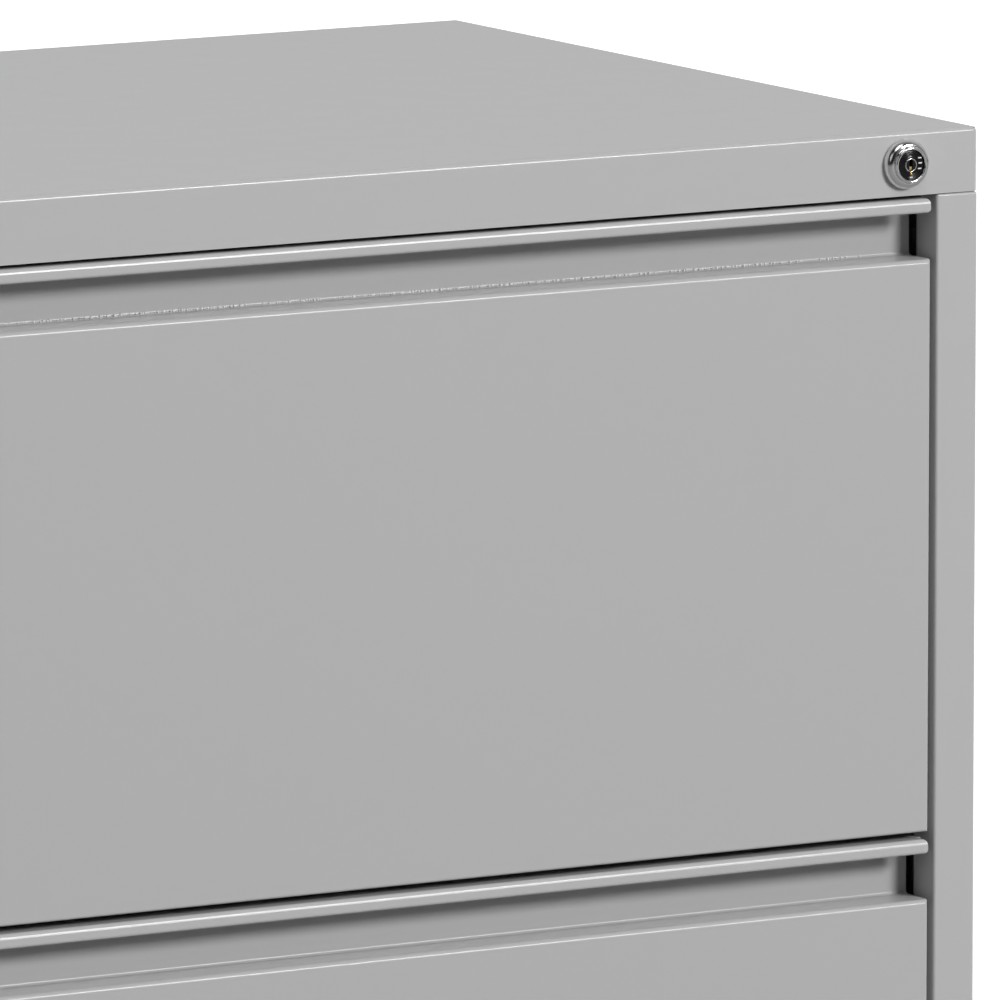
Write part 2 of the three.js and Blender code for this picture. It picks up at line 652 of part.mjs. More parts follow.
function lockNut() {
  const front = CASE_SHEET + SEAT;
  const section = hexagon(LOCK_NUT_FLATS, BARREL_RADIUS + TURNING_FIT);
  return piece("lock_nut", alongY(section, front, front + LOCK_NUT_THICKNESS), ZINC);
}

function lockPlug() {
  const face = -LOCK_PROUD + PLUG_SINK;
  const front = [[0, face], [PLUG_RADIUS - PLUG_SINK, face], [PLUG_RADIUS, face + PLUG_SINK]];
  const stubStart = BARREL_LENGTH + TURNING_FIT;
  const stubEnd = camFront + CAM_SHEET + TURNING_FIT;
  const back = [[PLUG_RADIUS, stubStart], [STUB_RADIUS, stubStart], [STUB_RADIUS, stubEnd], [0, stubEnd]];
  const turned = turnedAlongY([...front, ...back]);
  const half = KEYWAY_WIDTH / 2;
  const rear = face + KEYWAY_DEPTH;
  const keyway = box(-half, half, face - OVERSHOOT, rear, -KEYWAY_HEIGHT / 2, KEYWAY_HEIGHT / 2);
  return piece("lock_plug", cut(turned, keyway), BLACK);
}

// Cam plate whose pin lifts the lock bar, drawn with the pin along +X and turned to its rest angle
function lockCam() {
  const hub = STUB_RADIUS + TURNING_FIT + CAM_RIM;
  const tip = CAM_PIN_RADIUS + CAM_RIM / 2;
  const lean = Math.acos((hub - tip) / CAM_RADIUS);
  const plate = new THREE.Shape();
  plate.absarc(0, 0, hub, lean, 2 * Math.PI - lean);
  plate.absarc(CAM_RADIUS, 0, tip, -lean, lean);
  plate.holes.push(circle(STUB_RADIUS + TURNING_FIT));
  const run = { depth: CAM_SHEET, bevelEnabled: false, curveSegments: ARC_STEPS };
  const flat = new THREE.ExtrudeGeometry(plate, run);
  const turn = new THREE.Matrix4().makeBasis(AXIS_X, AXIS_Z, AXIS_Y.clone().negate());
  flat.applyMatrix4(turn).translate(0, camFront + CAM_SHEET, 0);
  const pinFront = camFront + CAM_SHEET / 2;
  const pin = alongY(circle(CAM_PIN_RADIUS), pinFront, camFront + CAM_SHEET + CAM_PIN_LENGTH);
  const mesh = piece("lock_cam", joined(flat, pin.translate(CAM_RADIUS, 0, 0)), ZINC);
  mesh.rotation.y = -CAM_REST_ANGLE;
  return mesh;
}

// Lock bar at rest, unlocked: an upright strip with a slotted arm for the cam and a tab for each drawer
function lockBar() {
  const armMiddle = lockZ - camLift / 2;
  const armTop = armMiddle + ARM_HEIGHT / 2;
  const low = drawerBottom(0) + tabTop - TAB_HEIGHT;
  const strip = box(barInner, barOuter, barFront, barRear, low, armTop);
  const bracket = (inner, z0, z1) => {
    const points = [[inner, barFront], [barOuter, barFront], [barOuter, barRear]];
    return alongZ(sheetShape(points, BAR_SHEET, GUIDE_BEND), z0, z1);
  };
  const pinNear = lockX + CAM_RADIUS * Math.cos(CAM_REST_ANGLE);
  const slotSide = CAM_PIN_RADIUS + SLOT_CLEARANCE;
  const slotStart = pinNear - slotSide;
  const slotEnd = lockX + CAM_RADIUS + slotSide;
  const arm = bracket(slotStart - CAM_RIM, armMiddle - ARM_HEIGHT / 2, armTop);
  const tabs = DRAWERS.map((_, i) => {
    const top = drawerBottom(i) + tabTop;
    return bracket(barInner - TAB_REACH, top - TAB_HEIGHT, top);
  });
  const o = OVERSHOOT;
  const edge = [barFront - o, barFront + BAR_SHEET / 2];
  const corner = box(barInner - o, barOuter + o, ...edge, low - o, armTop + o);
  const plain = cut(strip, corner);
  const slotHeight = [armMiddle - slotSide, armMiddle + slotSide];
  const slot = box(slotStart, slotEnd, barFront - o, barFront + BAR_SHEET + o, ...slotHeight);
  return piece("lock_bar", cut(joined(plain, arm, ...tabs), slot), ZINC);
}

// Clip on the front upright that guides the lock bar
function lockBarGuide(name, z) {
  const inner = barInner - BAR_CLEARANCE;
  const outer = barOuter + BAR_CLEARANCE;
  const front = barFront - BAR_CLEARANCE;
  const rear = barRear + BAR_CLEARANCE;
  const lip = [[inner, front + GUIDE_LIP], [inner, front]];
  const wrap = [[outer, front], [outer, rear], [outer + GUIDE_EAR, rear]];
  const section = sheetShape([...lip, ...wrap], -GUIDE_SHEET, GUIDE_BEND);
  return piece(name, alongZ(section, z, z + GUIDE_HEIGHT), ZINC);
}

// Assembly, with the whole object's box centred over the origin
const cabinet = new THREE.Group();
cabinet.name = "lateral_filing_cabinet";
cabinet.position.y = -(CASE_DEPTH - LOCK_PROUD) / 2;

cabinet.add(topCap(), backPanel(), baseFrontRail(), basePan(), counterweight());
cabinet.add(sidePanel("right_side_panel"), mirrored(sidePanel("left_side_panel")));

const uprightPlaces = { front: uprightFront, rear: boxRear - UPRIGHT_WIDTH - UPRIGHT_LIP };
for (const [place, front] of Object.entries(uprightPlaces)) {
  cabinet.add(upright(`${place}_right_upright`, front));
  cabinet.add(mirrored(upright(`${place}_left_upright`, front)));
}

for (const [place, [x, y]] of Object.entries(glidePlaces)) {
  const foot = glide(`${place}_glide`);
  foot.position.set(x, y, 0);
  cabinet.add(foot);
}

const lock = new THREE.Group();
lock.position.set(lockX, 0, lockZ);
lock.add(lockHousing(), lockNut(), lockPlug(), lockCam());
cabinet.add(lock, lockBar());

DRAWERS.forEach((level, index) => {
  const drawer = new THREE.Group();
  drawer.position.z = drawerBottom(index);
  drawer.add(drawerFront(`${level}_drawer_front`));
  drawer.add(boxSide(`${level}_drawer_right_side`), mirrored(boxSide(`${level}_drawer_left_side`)));
  drawer.add(crossSheet(`${level}_drawer_liner`, boxFront, 1, recessFloor + LINER_LAP));
  drawer.add(crossSheet(`${level}_drawer_back`, boxRear, -1, boxTop - BOX_BACK_DROP));
  drawer.add(boxBottom(`${level}_drawer_bottom`));
  drawer.add(hangRail(`${level}_front_hang_rail`, boxFront + HANG_SETBACK, 1));
  drawer.add(hangRail(`${level}_rear_hang_rail`, boxRear - HANG_SETBACK, -1));
  drawer.add(lockCatch(`${level}_lock_catch`));
  for (const [hand, side] of [["left", -1], ["right", 1]]) {
    const runner = slide(`${level}_${hand}_slide`);
    runner.position.set(side * slideOuter, SLIDE_SETBACK, SLIDE_LEVEL);
    runner.rotation.y = side > 0 ? Math.PI : 0;
    drawer.add(runner);
  }
  drawer.add(lockBarGuide(`${level}_lock_bar_guide`, GUIDE_LEVEL));
  cabinet.add(drawer);
});

export default cabinet;
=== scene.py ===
import math
import random

import bmesh
import bpy
from mathutils import Matrix, Vector


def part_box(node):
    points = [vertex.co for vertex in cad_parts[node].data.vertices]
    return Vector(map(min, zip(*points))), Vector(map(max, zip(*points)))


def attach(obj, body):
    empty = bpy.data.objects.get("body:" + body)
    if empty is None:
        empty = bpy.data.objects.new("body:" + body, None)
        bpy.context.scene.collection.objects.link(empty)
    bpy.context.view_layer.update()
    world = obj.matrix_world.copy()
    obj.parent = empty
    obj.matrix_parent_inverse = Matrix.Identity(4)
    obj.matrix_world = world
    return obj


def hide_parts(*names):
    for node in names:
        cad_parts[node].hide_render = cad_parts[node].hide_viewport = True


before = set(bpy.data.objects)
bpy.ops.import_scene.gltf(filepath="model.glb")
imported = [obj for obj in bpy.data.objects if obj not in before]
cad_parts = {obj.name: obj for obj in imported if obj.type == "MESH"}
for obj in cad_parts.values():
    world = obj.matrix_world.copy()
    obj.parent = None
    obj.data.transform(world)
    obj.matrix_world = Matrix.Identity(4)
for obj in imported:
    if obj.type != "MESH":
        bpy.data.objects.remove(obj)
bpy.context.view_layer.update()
scene = bpy.context.scene
scene.view_settings.view_transform = "Standard"
mm = 0.001

# camera, at the left of the front and a little above the top
camera = {
    "place": (-3.06199, -5.86188, 1.56047),
    "lens": 512.866,
    "sensor": 36.0,
    "yaw": 0.52562,
    "pitch": 0.152281,
    "clip": (0.5, 100.0),
}


def makeCamera(spec):
    data = bpy.data.cameras.new("photoCamera")
    data.lens = spec["lens"]
    data.sensor_width = spec["sensor"]
    data.clip_start, data.clip_end = spec["clip"]
    eye = bpy.data.objects.new("photoCamera", data)
    eye.location = spec["place"]
    eye.rotation_euler = (math.pi / 2 - spec["pitch"], 0, -spec["yaw"])
    scene.collection.objects.link(eye)
    scene.camera = eye


makeCamera(camera)


# small helpers for node trees
def addNode(tree, kind, values=None, links=None, **options):
    made = tree.nodes.new(kind)
    for key, value in options.items():
        setattr(made, key, value)
    for key, value in (values or {}).items():
        made.inputs[key].default_value = value
    for key, socket in (links or {}).items():
        tree.links.new(socket, made.inputs[key])
    return made


def mapRange(tree, value, source, target=(0.0, 1.0)):
    limits = {"From Min": source[0], "From Max": source[1],
              "To Min": target[0], "To Max": target[1]}
    return addNode(tree, "ShaderNodeMapRange", limits, {"Value": value}).outputs[0]


def multiply(tree, first, second):
    product = addNode(tree, "ShaderNodeMath", links={0: first}, operation="MULTIPLY")
    if isinstance(second, float):
        product.inputs[1].default_value = second
    else:
        tree.links.new(second, product.inputs[1])
    return product.outputs[0]


def mixColour(tree, factor, first, second):
    mix = tree.nodes.new("ShaderNodeMix")
    mix.data_type = "RGBA"
    tree.links.new(factor, mix.inputs[0])
    for socket, value in ((mix.inputs[6], first), (mix.inputs[7], second)):
        if isinstance(value, tuple):
            socket.default_value = (*value, 1)
        else:
            tree.links.new(value, socket)
    return mix.outputs[2]


# studio: a key at the front right, weaker lamps at the left and above, fills behind, white paper
studio = {
    "lamps": {
        "key": {"azimuth": 29.5, "elevation": 23.0, "strength": 2.32, "spread": 14, "distance": 11},
        "side": {"azimuth": -56, "elevation": 27, "strength": 0.13, "spread": 30, "distance": 9},
        "above": {"azimuth": -10, "elevation": 58, "strength": 0.68, "spread": 30, "distance": 7},
        "backLeft": {"azimuth": -122, "elevation": 10, "strength": 1.8, "spread": 50, "distance": 8,
                     "gloss": False},
        "backRight": {"azimuth": 140, "elevation": 10, "strength": 1.8, "spread": 50, "distance": 8,
                      "gloss": False},
    },
    "aim": (0, 0, 0.4),
    "room": (0.08, 0.32),  # the room's light in front of the cabinet and behind it
    "roomShine": (0.008, 0.575),  # the same as glossy surfaces see it
    "roomTurn": (0.5, 0.86, 0.0),  # from the front to the back
    "roomReach": (-0.35, 0.55),
    "floor": (0.34, 0.34, 0.339),
    "floorRough": 0.9,
    "floorGlow": (0.66, 0.96),  # near the cabinet and far from it
    "floorFade": (1.0, 2.4),
    "floorSize": 70.0,
}


def makeLamp(name, spec, aim):
    lamp = bpy.data.lights.new(name + "Light", "AREA")
    lamp.shape = "DISK"
    lamp.size = 2 * spec["distance"] * math.tan(math.radians(spec["spread"] / 2))
    lamp.energy = spec["strength"] * math.pi * spec["distance"] ** 2
    turn, lift = math.radians(spec["azimuth"]), math.radians(spec["elevation"])
    level = math.cos(lift)
    toLamp = Vector((math.sin(turn) * level, -math.cos(turn) * level, math.sin(lift)))
    lampObject = bpy.data.objects.new(name + "Light", lamp)
    lampObject.rotation_euler = toLamp.to_track_quat("Z", "Y").to_euler()
    lampObject.location = toLamp * spec["distance"] + Vector(aim)
    lampObject.visible_glossy = spec.get("gloss", True)
    scene.collection.objects.link(lampObject)


def makeRoom(spec):
    world = bpy.data.worlds.new("studioRoom")
    scene.world = world
    world.use_nodes = True
    tree = world.node_tree
    back = tree.nodes["Background"]
    back.inputs["Color"].default_value = (1, 1, 1, 1)
    where = addNode(tree, "ShaderNodeTexCoord").outputs["Generated"]
    across = addNode(tree, "ShaderNodeVectorMath", {1: spec["roomTurn"]}, {0: where},
                     operation="DOT_PRODUCT").outputs["Value"]
    path = addNode(tree, "ShaderNodeLightPath")
    dull = mapRange(tree, across, spec["roomReach"], spec["room"])
    shine = mapRange(tree, across, spec["roomReach"], spec["roomShine"])
    lit = addNode(tree, "ShaderNodeMix",
                  links={"Factor": path.outputs["Is Glossy Ray"], "A": dull, "B": shine})
    seen = addNode(tree, "ShaderNodeMix", {"B": 1.0},
                   {"Factor": path.outputs["Is Camera Ray"], "A": lit.outputs[0]})
    tree.links.new(seen.outputs[0], back.inputs["Strength"])


def makeFloor(spec):
    half = spec["floorSize"] / 2
    mesh = bpy.data.meshes.new("studioFloor")
    corners = [(-half, -half, 0), (half, -half, 0), (half, half, 0), (-half, half, 0)]
    mesh.from_pydata(corners, [], [(0, 1, 2, 3)])
    floor = bpy.data.objects.new("studioFloor", mesh)
    scene.collection.objects.link(floor)
    paper = bpy.data.materials.new("paleFloor")
    paper.use_nodes = True
    tree = paper.node_tree
    shader = tree.nodes["Principled BSDF"]
    shader.inputs["Base Color"].default_value = (*spec["floor"], 1)
    shader.inputs["Roughness"].default_value = spec["floorRough"]
    shader.inputs["Specular IOR Level"].default_value = 0.0
    shader.inputs["Emission Color"].default_value = (1, 1, 1, 1)
    path = addNode(tree, "ShaderNodeLightPath")
    spot = addNode(tree, "ShaderNodeNewGeometry").outputs["Position"]
    away = addNode(tree, "ShaderNodeVectorMath", links={0: spot}, operation="LENGTH")
    white = mapRange(tree, away.outputs["Value"], spec["floorFade"], spec["floorGlow"])
    glow = multiply(tree, white, path.outputs["Is Camera Ray"])
    tree.links.new(glow, shader.inputs["Emission Strength"])
    mesh.materials.append(paper)


for lampName, lampSpec in studio["lamps"].items():
    makeLamp(lampName, lampSpec, studio["aim"])
makeRoom(studio)
makeFloor(studio)
print("camera and studio ready")

# surface effects as node groups, shared by the materials; a noise is scale, detail and roughness
skins = {
    "powder": {"grain": 900.0, "grainDetail": 2.0, "tone": (4.0, 2.0), "gloss": (45.0, 4.0)},
    "dust": {"speck": 600.0, "speckDetail": 3.0, "speckRough": 0.7, "drift": (7.0, 3.0),
             "level": (0.75, 1.0), "colour": (0.62, 0.60, 0.57)},
    "zinc": {"spangle": 160.0, "gloss": (35.0, 5.0, 0.6), "grit": (1500.0, 3.0)},
    "rolled": {"grain": 900.0, "grainDetail": 3.0, "stretch": (1.0, 0.03, 1.0),
               "tone": (28.0, 5.0, 0.62)},
}


def effectGroup(name, sliders, results):
    tree = bpy.data.node_groups.new(name, "ShaderNodeTree")
    for label, value in sliders.items():
        socket = tree.interface.new_socket(label, in_out="INPUT", socket_type="NodeSocketFloat")
        socket.default_value = value
    for label in results:
        tree.interface.new_socket(label, in_out="OUTPUT", socket_type="NodeSocketFloat")
    return tree, tree.nodes.new("NodeGroupInput"), tree.nodes.new("NodeGroupOutput")


def noiseIn(tree, vector, scale, detail, roughness=0.5):
    values = {"Detail": detail, "Roughness": roughness}
    links = {"Vector": vector}
    if isinstance(scale, float):
        values["Scale"] = scale
    else:
        links["Scale"] = scale
    return addNode(tree, "ShaderNodeTexNoise", values, links).outputs["Fac"]


def makePowderSkin(spec):
    tree, enter, leave = effectGroup("powderSkin", {"Grain": spec["grain"]},
                                     ("Height", "Tone", "Gloss"))
    where = addNode(tree, "ShaderNodeTexCoord").outputs["Object"]
    peel = noiseIn(tree, where, enter.outputs["Grain"], spec["grainDetail"])
    tree.links.new(peel, leave.inputs["Height"])
    tree.links.new(noiseIn(tree, where, *spec["tone"]), leave.inputs["Tone"])
    tree.links.new(noiseIn(tree, where, *spec["gloss"]), leave.inputs["Gloss"])
    return tree


def makeSettledDust(spec):
    tree, enter, leave = effectGroup("settledDust", {"Speck": spec["speck"]}, ("Dust",))
    where = addNode(tree, "ShaderNodeTexCoord").outputs["Object"]
    facing = addNode(tree, "ShaderNodeNewGeometry").outputs["Normal"]
    up = addNode(tree, "ShaderNodeSeparateXYZ", links={"Vector": facing}).outputs["Z"]
    level = mapRange(tree, up, spec["level"])
    specks = noiseIn(tree, where, enter.outputs["Speck"], spec["speckDetail"], spec["speckRough"])
    drift = noiseIn(tree, where, *spec["drift"])
    dust = multiply(tree, multiply(tree, specks, drift), level)
    tree.links.new(dust, leave.inputs["Dust"])
    return tree


def makeZincSkin(spec):
    tree, enter, leave = effectGroup("zincSkin", {"Spangle": spec["spangle"]},
                                     ("Tone", "Gloss", "Height"))
    where = addNode(tree, "ShaderNodeTexCoord").outputs["Object"]
    cells = addNode(tree, "ShaderNodeTexVoronoi", {"Randomness": 1.0},
                    {"Vector": where, "Scale": enter.outputs["Spangle"]})
    shade = addNode(tree, "ShaderNodeSeparateColor", links={"Color": cells.outputs["Color"]})
    tree.links.new(shade.outputs["Red"], leave.inputs["Tone"])
    tree.links.new(noiseIn(tree, where, *spec["gloss"]), leave.inputs["Gloss"])
    tree.links.new(noiseIn(tree, where, *spec["grit"]), leave.inputs["Height"])
    return tree


def makeRolledGrain(spec):
    tree, enter, leave = effectGroup("rolledGrain", {"Grain": spec["grain"]},
                                     ("Tone", "Gloss", "Height"))
    where = addNode(tree, "ShaderNodeTexCoord").outputs["Object"]
    drawn = addNode(tree, "ShaderNodeMapping", {"Scale": spec["stretch"]}, {"Vector": where})
    lines = noiseIn(tree, drawn.outputs["Vector"], enter.outputs["Grain"], spec["grainDetail"])
    tree.links.new(lines, leave.inputs["Height"])
    tree.links.new(lines, leave.inputs["Gloss"])
    tree.links.new(noiseIn(tree, where, *spec["tone"]), leave.inputs["Tone"])
    return tree


powderSkin, settledDust = makePowderSkin(skins["powder"]), makeSettledDust(skins["dust"])
zincSkin, rolledGrain = makeZincSkin(skins["zinc"]), makeRolledGrain(skins["rolled"])

# finishes: two colours that the tone moves between, the range of roughness, the relief in metres
finishes = {
    # the case has the same paint as the fronts, set a shade lighter as painted light for the brighter
    # rail and top
    "casePaintLighterAsPaintedLight": {"slot": "case_paint", "skin": powderSkin, "grain": ("Grain", 520.0), "dust": 0.03,
                  "dark": (0.4655, 0.4655, 0.4695), "light": (0.4695, 0.4695, 0.4735),
                  "rough": (0.190, 0.210), "relief": 0.000001, "specular": 0.28},
    "frontPaint": {"slot": "front_paint", "skin": powderSkin, "grain": ("Grain", 520.0), "dust": 0.03,
                   "dark": (0.4505, 0.4505, 0.4545), "light": (0.4545, 0.4545, 0.4585),
                   "rough": (0.190, 0.210), "relief": 0.000001, "specular": 0.19},
    # real beads of gathered paint, their pale colour a painted highlight (glints along the crease)
    "creaseGrainPaintedGlint": {"slot": "front_paint", "skin": powderSkin, "grain": ("Grain", 3000.0),
                      "dark": (0.66, 0.66, 0.67), "light": (0.84, 0.84, 0.85),
                      "rough": (0.2, 0.26), "relief": 0.00001},
    "boxPaint": {"slot": "box_paint", "skin": powderSkin, "grain": ("Grain", 900.0), "dust": 0.1,
                 "dark": (0.40, 0.402, 0.40), "light": (0.43, 0.432, 0.43),
                 "rough": (0.36, 0.46), "relief": 0.00002},
    "zinc": {"slot": "zinc", "skin": zincSkin, "grain": ("Spangle", 160.0), "metal": 1.0,
             "dark": (0.50, 0.52, 0.55), "light": (0.64, 0.66, 0.68),
             "rough": (0.38, 0.52), "relief": 0.000006},
    "ballSteel": {"slot": "ball_steel", "skin": rolledGrain, "grain": ("Grain", 700.0), "metal": 1.0,
                  "dark": (0.60, 0.60, 0.61), "light": (0.72, 0.73, 0.74),
                  "rough": (0.12, 0.26), "relief": 0.000004},
    "rawSteel": {"slot": "raw_steel", "skin": rolledGrain, "grain": ("Grain", 260.0), "metal": 0.7,
                 "dark": (0.045, 0.048, 0.055), "light": (0.15, 0.125, 0.105),
                 "rough": (0.42, 0.68), "relief": 0.00006},
    "lockChrome": {"slot": "lock_chrome", "skin": rolledGrain, "grain": ("Grain", 1800.0),
                   "metal": 1.0, "dark": (0.72, 0.73, 0.74), "light": (0.80, 0.80, 0.80),
                   "rough": (0.14, 0.18), "relief": 0.0000003},
    "lockBlack": {"slot": "lock_black", "skin": powderSkin, "grain": ("Grain", 2400.0),
                  "dark": (0.005, 0.005, 0.006), "light": (0.011, 0.011, 0.012),
                  "rough": (0.16, 0.26), "relief": 0.000004, "specular": 0.25},
    "glideNylon": {"slot": "glide_nylon", "skin": powderSkin, "grain": ("Grain", 1500.0), "dust": 0.2,
                   "dark": (0.018, 0.018, 0.019), "light": (0.030, 0.030, 0.031),
                   "rough": (0.42, 0.58), "relief": 0.00003},
    "keyBrass": {"slot": "lock_chrome", "skin": rolledGrain, "grain": ("Grain", 1500.0), "metal": 1.0,
                 "dark": (0.62, 0.42, 0.16), "light": (0.78, 0.56, 0.25),
                 "rough": (0.18, 0.34), "relief": 0.000004},
    "markWhite": {"slot": "lock_black", "skin": powderSkin, "grain": ("Grain", 1500.0),
                  "dark": (0.72, 0.72, 0.70), "light": (0.82, 0.82, 0.80),
                  "rough": (0.4, 0.55), "relief": 0.000004},
}
glossSpan = (0.25, 0.75)  # the part of the gloss noise that the range of roughness covers


def makeFinish(name, spec):
    finish = bpy.data.materials.new(name)
    finish.use_nodes = True
    tree = finish.node_tree
    shader = tree.nodes["Principled BSDF"]
    shader.inputs["Metallic"].default_value = spec.get("metal", 0.0)
    shader.inputs["Specular IOR Level"].default_value = spec.get("specular", 0.5)
    skin = addNode(tree, "ShaderNodeGroup", node_tree=spec["skin"])
    grainName, grainValue = spec["grain"]
    skin.inputs[grainName].default_value = grainValue
    colour = mixColour(tree, skin.outputs["Tone"], spec["dark"], spec["light"])
    if "dust" in spec:
        dust = addNode(tree, "ShaderNodeGroup", node_tree=settledDust)
        cover = multiply(tree, dust.outputs["Dust"], spec["dust"])
        colour = mixColour(tree, cover, colour, skins["dust"]["colour"])
    tree.links.new(colour, shader.inputs["Base Color"])
    rough = mapRange(tree, skin.outputs["Gloss"], glossSpan, spec["rough"])
    tree.links.new(rough, shader.inputs["Roughness"])
    height = multiply(tree, skin.outputs["Height"], spec["relief"])
    bump = addNode(tree, "ShaderNodeBump", {"Strength": 1.0, "Distance": 1.0}, {"Height": height})
    tree.links.new(bump.outputs["Normal"], shader.inputs["Normal"])
    return finish


materials = {name: makeFinish(name, spec) for name, spec in finishes.items()}
print("finishes:", ", ".join(materials))

# which finish each CAD node gets, by words in its name, the first that fits
dressing = (
    ("ball_cage", "ballSteel"),
    ("slide", "zinc"),
    ("drawer_front", "frontPaint"),
    ("drawer_", "boxPaint"),
    ("counterweight", "rawSteel"),
    ("lock_housing", "lockChrome"),
    ("lock_plug", "lockBlack"),
    ("glide", "glideNylon"),
    ("top_cap", "casePaintLighterAsPaintedLight"),
    ("panel", "casePaintLighterAsPaintedLight"),
    ("base_front_rail", "casePaintLighterAsPaintedLight"),
    ("", "zinc"),
)

# smooth bends and crisp edges: weld distance in metres, angles in degrees
shading = {"weld": 0.00001, "splitAngle": 40, "faceWeight": 100, "sharpAngle": 38}


def evenShading(node):
    weld = node.modifiers.new("weld", "WELD")
    weld.merge_threshold = shading["weld"]
    split = node.modifiers.new("sharpEdges", "EDGE_SPLIT")
    split.split_angle = math.radians(shading["splitAngle"])
    even = node.modifiers.new("flatFaces", "WEIGHTED_NORMAL")
    even.weight = shading["faceWeight"]


def dressNode(name, node):
    finish = next(look for word, look in dressing if word in name)
    node.data.materials.clear()
    node.data.materials.append(materials[finish])
    for face in node.data.polygons:
        face.use_smooth = True
    evenShading(node)


for nodeName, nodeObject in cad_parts.items():
    dressNode(nodeName, nodeObject)
print("CAD nodes dressed")


# mesh builder: rings of points bridged with quads, a finish for each band
def facing(point, direction):
    turn = Vector(direction).to_track_quat("Z", "Y").to_matrix().to_4x4()
    return Matrix.Translation(Vector(point)) @ turn


def hexOutline(radius, angle):
    return radius / math.cos((angle + math.pi / 6) % (math.pi / 3) - math.pi / 6)


def crossOutline(radius, angle, arm=0.26, smallest=0.001):
    turn = abs((angle + math.pi / 4) % (math.pi / 2) - math.pi / 4)
    return min(radius / math.cos(turn), arm * radius / max(math.sin(turn), smallest))


def barOutline(halfX, halfZ, corner=7):
    def outline(scale, angle):
        across, up = abs(math.cos(angle)) / halfX, abs(math.sin(angle)) / halfZ
        return scale / (across ** corner + up ** corner) ** (1 / corner)
    return outline


def shaped(profile, outline):
    return [(radius, along, outline) for radius, along in profile]


def turnedRings(profile, steps, place):
    rings = []
    for radius, along, *outline in profile:
        ring = []
        for step in range(steps):
            angle = 2 * math.pi * step / steps
            reach = outline[0](radius, angle) if outline else radius
            spot = Vector((reach * math.cos(angle), reach * math.sin(angle), along))
            ring.append(place @ (spot * mm))
        rings.append(ring)
    return rings


def addShell(shape, rings, bands=None, loop=False):
    made = [[shape.verts.new(point) for point in ring] for ring in rings]
    pairs = list(zip(made, made[1:]))
    if loop:
        pairs.append((made[-1], made[0]))
    bands = bands or [0] * len(pairs)
    for (near, far), band in zip(pairs, bands):
        for i in range(len(near)):
            j = (i + 1) % len(near)
            shape.faces.new((near[i], near[j], far[j], far[i])).material_index = band
    if not loop:
        shape.faces.new(reversed(made[0])).material_index = bands[0]
        shape.faces.new(made[-1]).material_index = bands[-1]


def addPiece(name, body, shape, looks, stoodFor=None):
    bmesh.ops.recalc_face_normals(shape, faces=shape.faces[:])
    mesh = bpy.data.meshes.new(name)
    shape.to_mesh(mesh)
    shape.free()
    for look in looks:
        mesh.materials.append(materials[look])
    for face in mesh.polygons:
        face.use_smooth = True
    mesh.set_sharp_from_angle(angle=math.radians(shading["sharpAngle"]))
    piece = bpy.data.objects.new(name, mesh)
    scene.collection.objects.link(piece)
    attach(piece, body)
    if stoodFor:
        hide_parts(stoodFor)
    return piece


# drawer fronts: the folded sheet with its pull lip rolled back a little towards the upper edge
pullLip = {
    "low": 0.2945,  # the lip, above the front's lower edge
    "high": 0.2990,
    "steps": 9,
    "rise": 0.00036,
    "start": 0.3,
    "reach": 0.0025,
    "spans": 22,
    "endCuts": (0.0015, 0.006),
    "flatAngle": 0.2,
    "snap": 0.0000001,
}


def cutAcross(shape, point, direction, snap):
    everything = shape.verts[:] + shape.edges[:] + shape.faces[:]
    bmesh.ops.bisect_plane(shape, geom=everything, dist=snap, plane_co=point, plane_no=direction)


def makeRolledFront(spec, drawer):
    low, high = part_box(drawer + "_front")
    shape = bmesh.new()
    shape.from_mesh(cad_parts[drawer + "_front"].data)
    bmesh.ops.remove_doubles(shape, verts=shape.verts[:], dist=shading["weld"])
    bmesh.ops.dissolve_limit(shape, angle_limit=math.radians(spec["flatAngle"]),
                             verts=shape.verts[:], edges=shape.edges[:])
    tall = spec["high"] - spec["low"]
    for i in range(spec["steps"] + 1):
        height = low.z + spec["low"] + tall * i / spec["steps"]
        cutAcross(shape, (0, 0, height), (0, 0, 1), spec["snap"])
    inner = [low.x + (high.x - low.x) * i / spec["spans"] for i in range(1, spec["spans"])]
    ends = [edge for inset in spec["endCuts"] for edge in (low.x + inset, high.x - inset)]
    for across in inner + ends:
        cutAcross(shape, (across, 0, 0), (1, 0, 0), spec["snap"])
    for vert in shape.verts:
        climb = (vert.co.z - low.z - spec["low"]) / tall
        if climb > 0:
            across = spec["start"] + (1 - spec["start"]) * min(climb, 1)
            fade = max(0, 1 - (vert.co.y - low.y) / spec["reach"])
            vert.co.y += spec["rise"] * (across ** 2 - spec["start"] ** 2) * fade
    front = addPiece(drawer + "_folded_front", drawer, shape, ["frontPaint"], drawer + "_front")
    evenShading(front)


for drawerName in ("upper_drawer", "lower_drawer"):
    makeRolledFront(pullLip, drawerName)
print("drawer fronts made")


